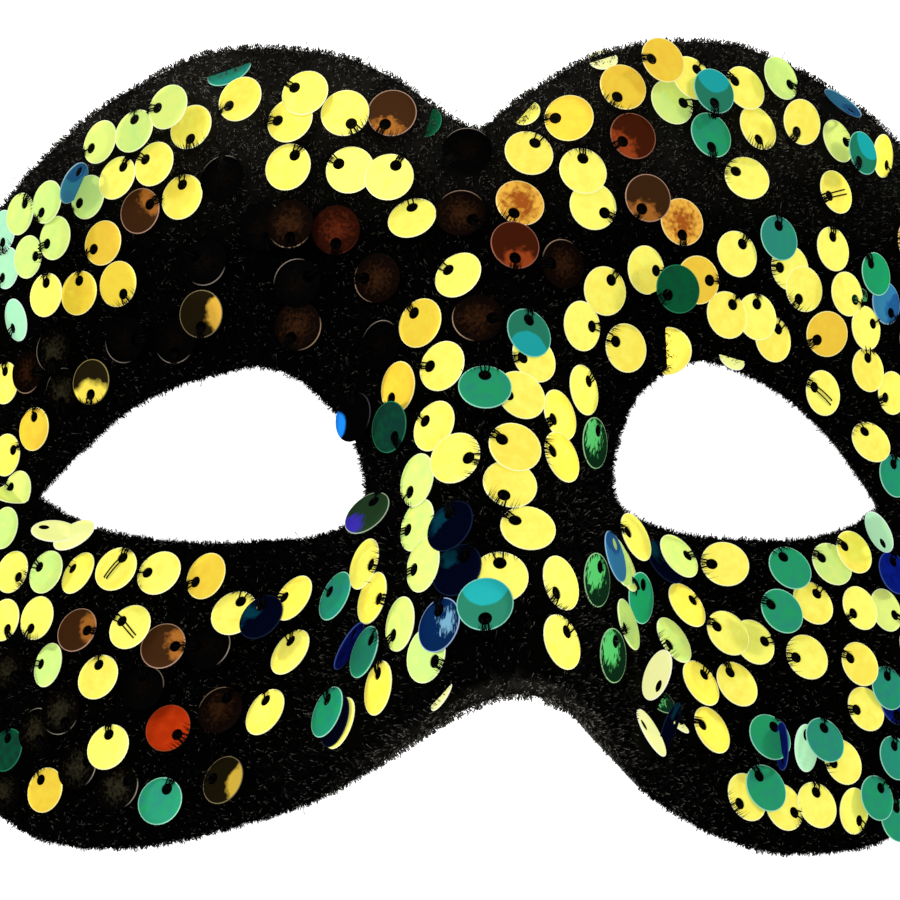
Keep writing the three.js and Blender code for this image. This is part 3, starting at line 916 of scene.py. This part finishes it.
def tube(path, radius):
    """A closed tube along a path. Gives points and triangles."""
    ahead = unit(np.gradient(path, axis=0))
    side = unit(np.cross(ahead, OFF_AXIS))
    other = np.cross(ahead, side)
    a, b = unit_ring(THREAD_SIDES).T[:, None, :, None]
    rings = path[:, None] + radius * (a * side[:, None] + b * other[:, None])
    points = np.concatenate([rings.reshape(-1, 3), path[:1], path[-1:]])
    sides = halved(grid_faces(len(path), THREAD_SIDES, closed_columns=True))
    k = np.arange(THREAD_SIDES)
    last = (len(path) - 1) * THREAD_SIDES
    first_cap = np.stack([k, (k + 1) % THREAD_SIDES, np.full(THREAD_SIDES, len(points) - 2)], -1)
    last_cap = np.stack([last + k, last + (k + 1) % THREAD_SIDES, np.full(THREAD_SIDES, len(points) - 1)], -1)
    return points, np.concatenate([sides[:, ::-1], first_cap[:, ::-1], last_cap])


def stitch(start, end):
    """A strand's path up through the hole, over the disc and down past its rim."""
    start, end = np.array(start), np.array(end)
    return np.column_stack([start + STITCH_REACH[:, None] * (end - start), STITCH_HEIGHT])


def make_threads(sequins, finish):
    tubes = []

    def add_strand(sequin, start, end):
        tubes.append(tube(in_place(stitch(start, end), sequin), THREAD_RADIUS))

    for sequin in sequins:
        hole = in_place(np.array([[HOLE_OFFSET, 0, 0]]), sequin)
        if sequin.kind in (*LEANING, *SUNK) or covered(hole, neighbours(sequin, sequins)).any():
            continue
        count = 1 + rng.choice(3, p=THREAD_SHARES)
        for spread in np.linspace(-0.5, 0.5, count) if count > 1 else (0,):
            past_rim = rng.uniform(*PAST_RIM)
            aside = 2 * THREAD_SPREAD * spread + rng.normal(0, THREAD_DRIFT)
            add_strand(sequin, (HOLE_OFFSET, HOLE_SPREAD * spread), (SEQUIN_RADIUS + past_rim, aside))
        if sequin.kind == "x":
            for side in (-LONG_THREAD_GAP, LONG_THREAD_GAP):
                aside = side + rng.normal(*LONG_THREAD_SLANT)
                add_strand(sequin, (HOLE_OFFSET, side), (LONG_THREAD_END * SEQUIN_RADIUS, aside))
    make_piece("threads", *joined(tubes), [finish], "velvet")


# Finishes

def new_finish(name):
    material = bpy.data.materials.new(name)
    material.use_nodes = True
    nodes = material.node_tree.nodes
    return material, nodes, material.node_tree.links, nodes["Principled BSDF"]


def set_sockets(node, values):
    for name, value in values.items():
        node.inputs[name].default_value = value


def linear(*srgb):
    """A linear colour from eight-bit screen values."""
    share = [value / 255 for value in srgb]
    return [*[s / 12.92 if s <= 0.04045 else ((s + 0.055) / 1.055) ** 2.4 for s in share], 1]


def object_noise(nodes, links, scale):
    noise = nodes.new("ShaderNodeTexNoise")
    set_sockets(noise, {"Scale": scale, "Detail": 4})
    place = nodes.new("ShaderNodeTexCoord")
    links.new(place.outputs["Object"], noise.inputs["Vector"])
    return noise.outputs["Fac"]


def velvet_finish():
    """Deep black fibres, with a paler one here and there, and painted sheen: paler pile over the brow and
    round the nose arch, and paler fibre tips.
    """
    material, nodes, links, surface = new_finish("black_velvet")
    shade = nodes.new("ShaderNodeAttribute")
    shade.attribute_name = "shade"
    patch = nodes.new("ShaderNodeMapRange")
    set_sockets(patch, {"From Min": 0.38, "From Max": 0.68, "To Min": 0.4})
    links.new(object_noise(nodes, links, 120), patch.inputs["Value"])
    pale = nodes.new("ShaderNodeMath")
    pale.operation = "MULTIPLY"
    links.new(shade.outputs["Fac"], pale.inputs[0])
    links.new(patch.outputs["Result"], pale.inputs[1])
    colour = nodes.new("ShaderNodeMix")
    colour.data_type = "RGBA"
    set_sockets(colour, {"A": (0.0003, 0.0003, 0.0003, 1), "B": (0.3, 0.28, 0.23, 1)})
    links.new(pale.outputs["Value"], colour.inputs["Factor"])
    links.new(colour.outputs["Result"], surface.inputs["Base Color"])
    set_sockets(surface, {"Roughness": 0.8, "Specular IOR Level": 0.01})
    return material


def backing_finish():
    material, nodes, links, surface = new_finish("matt_moulded_backing")
    bump = nodes.new("ShaderNodeBump")
    set_sockets(bump, {"Strength": 0.25, "Distance": 0.0002})
    links.new(object_noise(nodes, links, 1500), bump.inputs["Height"])
    links.new(bump.outputs["Normal"], surface.inputs["Normal"])
    set_sockets(surface, {"Base Color": linear(34, 32, 36), "Roughness": 0.65})
    return material


def thread_finish():
    material, _, _, surface = new_finish("black_thread")
    set_sockets(surface, {"Base Color": linear(4, 4, 4), "Roughness": 0.7, "Specular IOR Level": 0.02})
    return material


def foil(name, colour, rim, **look):
    """A thin plastic disc with metal sheen.

    The look may hold a tint that some discs lean to, a patch's colour, place, reach and raggedness,
    the grain's stretch, the painted glow, an emission that shows from any side, and whether the
    painted rim highlight shows only in arcs.
    """
    material, nodes, links, surface = new_finish(name)

    def feed(socket, given):
        if isinstance(given, bpy.types.NodeSocket):
            links.new(given, socket)
        else:
            socket.default_value = given

    def value(operation, *inputs, kind="Math"):
        node = nodes.new("ShaderNode" + kind)
        node.operation = operation
        for socket, given in zip(node.inputs, inputs):
            feed(socket, given)
        return node.outputs["Vector" if operation in ("MULTIPLY", "SCALE") and kind != "Math" else "Value"]

    def mixed(factor, first, second):
        mix = nodes.new("ShaderNodeMix")
        mix.data_type = "RGBA"
        for key, given in (("Factor", factor), ("A", first), ("B", second)):
            feed(mix.inputs[key], linear(*given) if isinstance(given, tuple) else given)
        return mix.outputs["Result"]

    def step(given, edge, softness):
        ramp = nodes.new("ShaderNodeMapRange")
        links.new(given, ramp.inputs["Value"])
        set_sockets(ramp, {"From Min": edge - softness, "From Max": edge + softness})
        return ramp.outputs["Result"]

    disc_place = nodes.new("ShaderNodeAttribute")
    disc_place.attribute_name = "disc"
    split = nodes.new("ShaderNodeSeparateXYZ")
    links.new(disc_place.outputs["Vector"], split.inputs["Vector"])
    flat = value("MULTIPLY", disc_place.outputs["Vector"], (1, 1, 0), kind="VectorMath")
    noise = nodes.new("ShaderNodeTexNoise")
    noise.noise_dimensions = "4D"
    set_sockets(noise, {"Scale": GRAIN_SCALE, "Detail": 4})
    grain = value("MULTIPLY", disc_place.outputs["Vector"], look.get("grain", (1, 1, 1)), kind="VectorMath")
    links.new(grain, noise.inputs["Vector"])
    links.new(value("MULTIPLY", split.outputs["Z"], GRAIN_SHIFT), noise.inputs["W"])
    tone = value("SUBTRACT", split.outputs["Z"], 0.5 * TINT_MOTTLE)
    tone = value("MULTIPLY_ADD", noise.outputs["Fac"], TINT_MOTTLE, tone)
    fill = mixed(tone, colour, look.get("tint", colour))
    if "patch" in look:
        away = value("DISTANCE", flat, (*look["at"], 0), kind="VectorMath")
        rough = value("MULTIPLY_ADD", noise.outputs["Fac"], -look["ragged"], away)
        edge = look["reach"] - 0.5 * look["ragged"]
        fill = mixed(step(rough, edge, look.get("softness", PATCH_SOFTNESS)), look["patch"], fill)
    # Painted highlight: a paler ring at the rim, where the disc's edge catches the light.
    rim_highlight = step(value("LENGTH", flat, kind="VectorMath"), 1 - RIM_HIGHLIGHT_WIDTH / SEQUIN_RADIUS, RIM_HIGHLIGHT_SOFTNESS)
    if look.get("rim_in_arcs"):
        bearing = value("MULTIPLY", split.outputs["Z"], 2 * math.pi)
        across = value("MULTIPLY", split.outputs["X"], value("COSINE", bearing))
        onward = value("MULTIPLY_ADD", split.outputs["Y"], value("SINE", bearing), across)
        rim_highlight = value("MULTIPLY", rim_highlight, step(onward, *RIM_HIGHLIGHT_ARC))
    whole = mixed(rim_highlight, fill, rim)
    # Painted light: the disc glows by emission as if it were a lamp, which keeps it bright where it is
    # shaded; its base colour is dimmed to match.
    glow = look.get("glow", FOIL_PAINTED_GLOW)
    lit = value("SCALE", whole, kind="VectorMath")
    set_sockets(lit.node, {"Scale": 1 - glow})
    links.new(lit, surface.inputs["Base Color"])
    links.new(whole, surface.inputs["Emission Color"])
    set_sockets(surface, {
        "Emission Strength": glow, "Metallic": 0.6, "Roughness": 0.22, "Specular IOR Level": 0,
    })
    links.new(whole, surface.inputs["Specular Tint"])
    return material


def foil_finishes():
    # The dark discs' patches and the crescents are painted glints, where part of a clear disc catches the
    # light.
    dark = {
        "at": (0, 0), "reach": 0.35, "ragged": 2.4, "softness": 0.35, "grain": (3, 3, 1),
        "rim_in_arcs": True,
    }
    stitched_side = {"at": (1, 0.2), "reach": 0.8, "ragged": 1.1, "softness": 0.16, "grain": (1.6, 1.6, 1)}
    crescent = {"reach": 0.85, "ragged": 0.6, "softness": 0.1}
    # Painted reflection: clear iridescent discs, yellow or gold where they reflect the light, green or blue
    # at a slant, dark where they reflect nothing. The second colour of each is its painted rim highlight.
    return {
        "Y": foil("yellow", (254, 251, 112), (252, 252, 190), tint=(251, 231, 86)),
        "O": foil("gold", (242, 214, 66), (250, 238, 160), tint=(238, 196, 62)),
        "C": foil(
            "copper", (242, 184, 68), (246, 222, 160), patch=(164, 84, 28), at=(0, 0), reach=0.6, ragged=2.2,
            softness=0.35, grain=(2, 2, 1),
        ),
        "F": foil("flat_red", (186, 56, 14), (150, 66, 36), tint=(160, 42, 8)),
        "A": foil("amber", (58, 34, 16), (176, 140, 118), patch=(160, 98, 38), **stitched_side),
        "R": foil("red", (64, 24, 9), (150, 96, 78), patch=(148, 62, 26), **stitched_side),
        "E": foil("maroon", (34, 11, 5), (70, 30, 20), patch=(76, 28, 12), **dark),
        "D": foil("dark_red", (12, 6, 4), (150, 124, 100), patch=(44, 24, 11), **dark),
        "L": foil("lime", (222, 238, 124), (240, 250, 196), tint=(196, 232, 128)),
        "Q": foil("pale_yellow", (255, 255, 176), (255, 255, 230), tint=(246, 254, 150), glow=0.85),
        "M": foil("mint", (182, 238, 188), (224, 250, 234), tint=(170, 232, 194), glow=0.75),
        "T": foil("teal", (36, 152, 96), (150, 214, 186), tint=(44, 134, 118)),
        "X": foil(
            "teal_and_cyan", (38, 118, 92), (130, 200, 180), patch=(32, 158, 158), at=(-0.8, 0), reach=0.85,
            ragged=0.15, softness=0.03,
        ),
        "G": foil("green", (10, 82, 48), (40, 120, 86), tint=(20, 54, 46)),
        "S": foil(
            "green_streaked", (16, 50, 28), (150, 196, 140), patch=(96, 190, 110), at=(0.2, 0.3), reach=0.6,
            ragged=1.8, softness=0.12, grain=(1.5, 4, 1),
        ),
        "B": foil(
            "blue", (56, 124, 160), (150, 186, 208), patch=(38, 92, 142), at=(0.9, 0.4), reach=0.9,
            ragged=0.6,
        ),
        "N": foil(
            "navy", (3, 6, 24), (22, 32, 56), patch=(6, 52, 66), at=(0.4, 0.6), reach=0.4, ragged=1.6,
            softness=0.15,
        ),
        "W": foil("vivid_blue", (8, 10, 70), (60, 80, 150), tint=(12, 32, 116)),
        "U": foil(
            "blue_streaked", (10, 38, 78), (150, 176, 210), patch=(110, 160, 186), at=(0, -0.4), reach=0.35,
            ragged=1.8, softness=0.12, grain=(1.5, 5, 1),
        ),
        "K": foil("smoke", (3, 3, 3), (136, 124, 112), patch=(9, 6, 4), **dark),
        "Z": foil("streaked_smoke", (5, 4, 3), (136, 130, 112), patch=(40, 37, 25), **dark),
        # Painted light: the blue patch is the pale floor seen through the clear disc where it hangs over the
        # eye hole.
        "P": foil(
            "smoke_with_blue", (4, 4, 5), (60, 58, 62), patch=(34, 132, 230), at=(-0.2, 1), reach=0.6,
            ragged=0.2, rim_in_arcs=True,
        ),
        "H": foil("half_gold", (26, 20, 8), (120, 108, 76), patch=(206, 160, 56), at=(0, 1.1), **crescent),
        "I": foil(
            "half_yellow", (30, 25, 12), (140, 126, 70), patch=(250, 226, 84), at=(1.1, 0), reach=1.15,
            ragged=0.6, softness=0.15,
        ),
        "J": foil(
            "gold_crescent", (24, 20, 8), (120, 108, 76), patch=(206, 172, 60), at=(-1.1, 0), **crescent,
        ),
        "V": foil(
            "violet_green", (36, 58, 36), (160, 176, 150), patch=(60, 50, 156), at=(-0.7, 0.5), reach=0.6,
            ragged=0.8, softness=0.12, grain=(1.5, 3, 1),
        ),
    }


# Stage and camera

def make_stage():
    mesh = bpy.data.meshes.new("floor")
    corners = [(x * FLOOR_REACH, y * FLOOR_REACH, 0) for x, y in ((-1, -1), (1, -1), (1, 1), (-1, 1))]
    mesh.from_pydata(corners, [], [(0, 1, 2, 3)])
    floor = add_object("floor", mesh)
    material, _, _, surface = new_finish("pale_floor")
    set_sockets(surface, {
        "Base Color": (0.8, 0.8, 0.8, 1), "Roughness": 1, "Emission Color": (1, 1, 1, 1),
        "Emission Strength": 0.9,
    })
    mesh.materials.append(material)
    world = bpy.data.worlds.new("studio")
    world.use_nodes = True
    set_sockets(world.node_tree.nodes["Background"], {"Color": (1, 1, 1, 1), "Strength": WORLD_LIGHT})
    bpy.context.scene.world = world
    light = bpy.data.lights.new("softbox", "AREA")
    light.energy = SOFTBOX_WATTS
    light.size = SOFTBOX_SIZE
    softbox = add_object("softbox", light)
    softbox.location = SOFTBOX_PLACE
    softbox.rotation_euler = (-Vector(SOFTBOX_PLACE)).to_track_quat("-Z", "Y").to_euler()


def make_camera():
    lens = bpy.data.cameras.new("camera")
    lens.sensor_width = SENSOR_WIDTH
    lens.lens = SENSOR_WIDTH * FOCAL_PIXELS / FRAME_PIXELS
    lens.clip_start = 0.01
    camera = add_object("camera", lens)
    axes = Matrix([CAMERA_RIGHT, CAMERA_UP, VIEW]).transposed().to_4x4()
    camera.matrix_world = Matrix.Translation(CAMERA_PLACE * MM) @ axes
    bpy.context.scene.camera = camera
    bpy.context.scene.view_settings.view_transform = "Standard"


charted = read_chart()
sequins = lay_sequins(sorted(charted + scatter_wings(charted), key=laying_order))
make_velvet(sequins, velvet_finish())
make_backing(backing_finish())
make_sequins(sequins, foil_finishes())
make_threads(sequins, thread_finish())
make_stage()
make_camera()
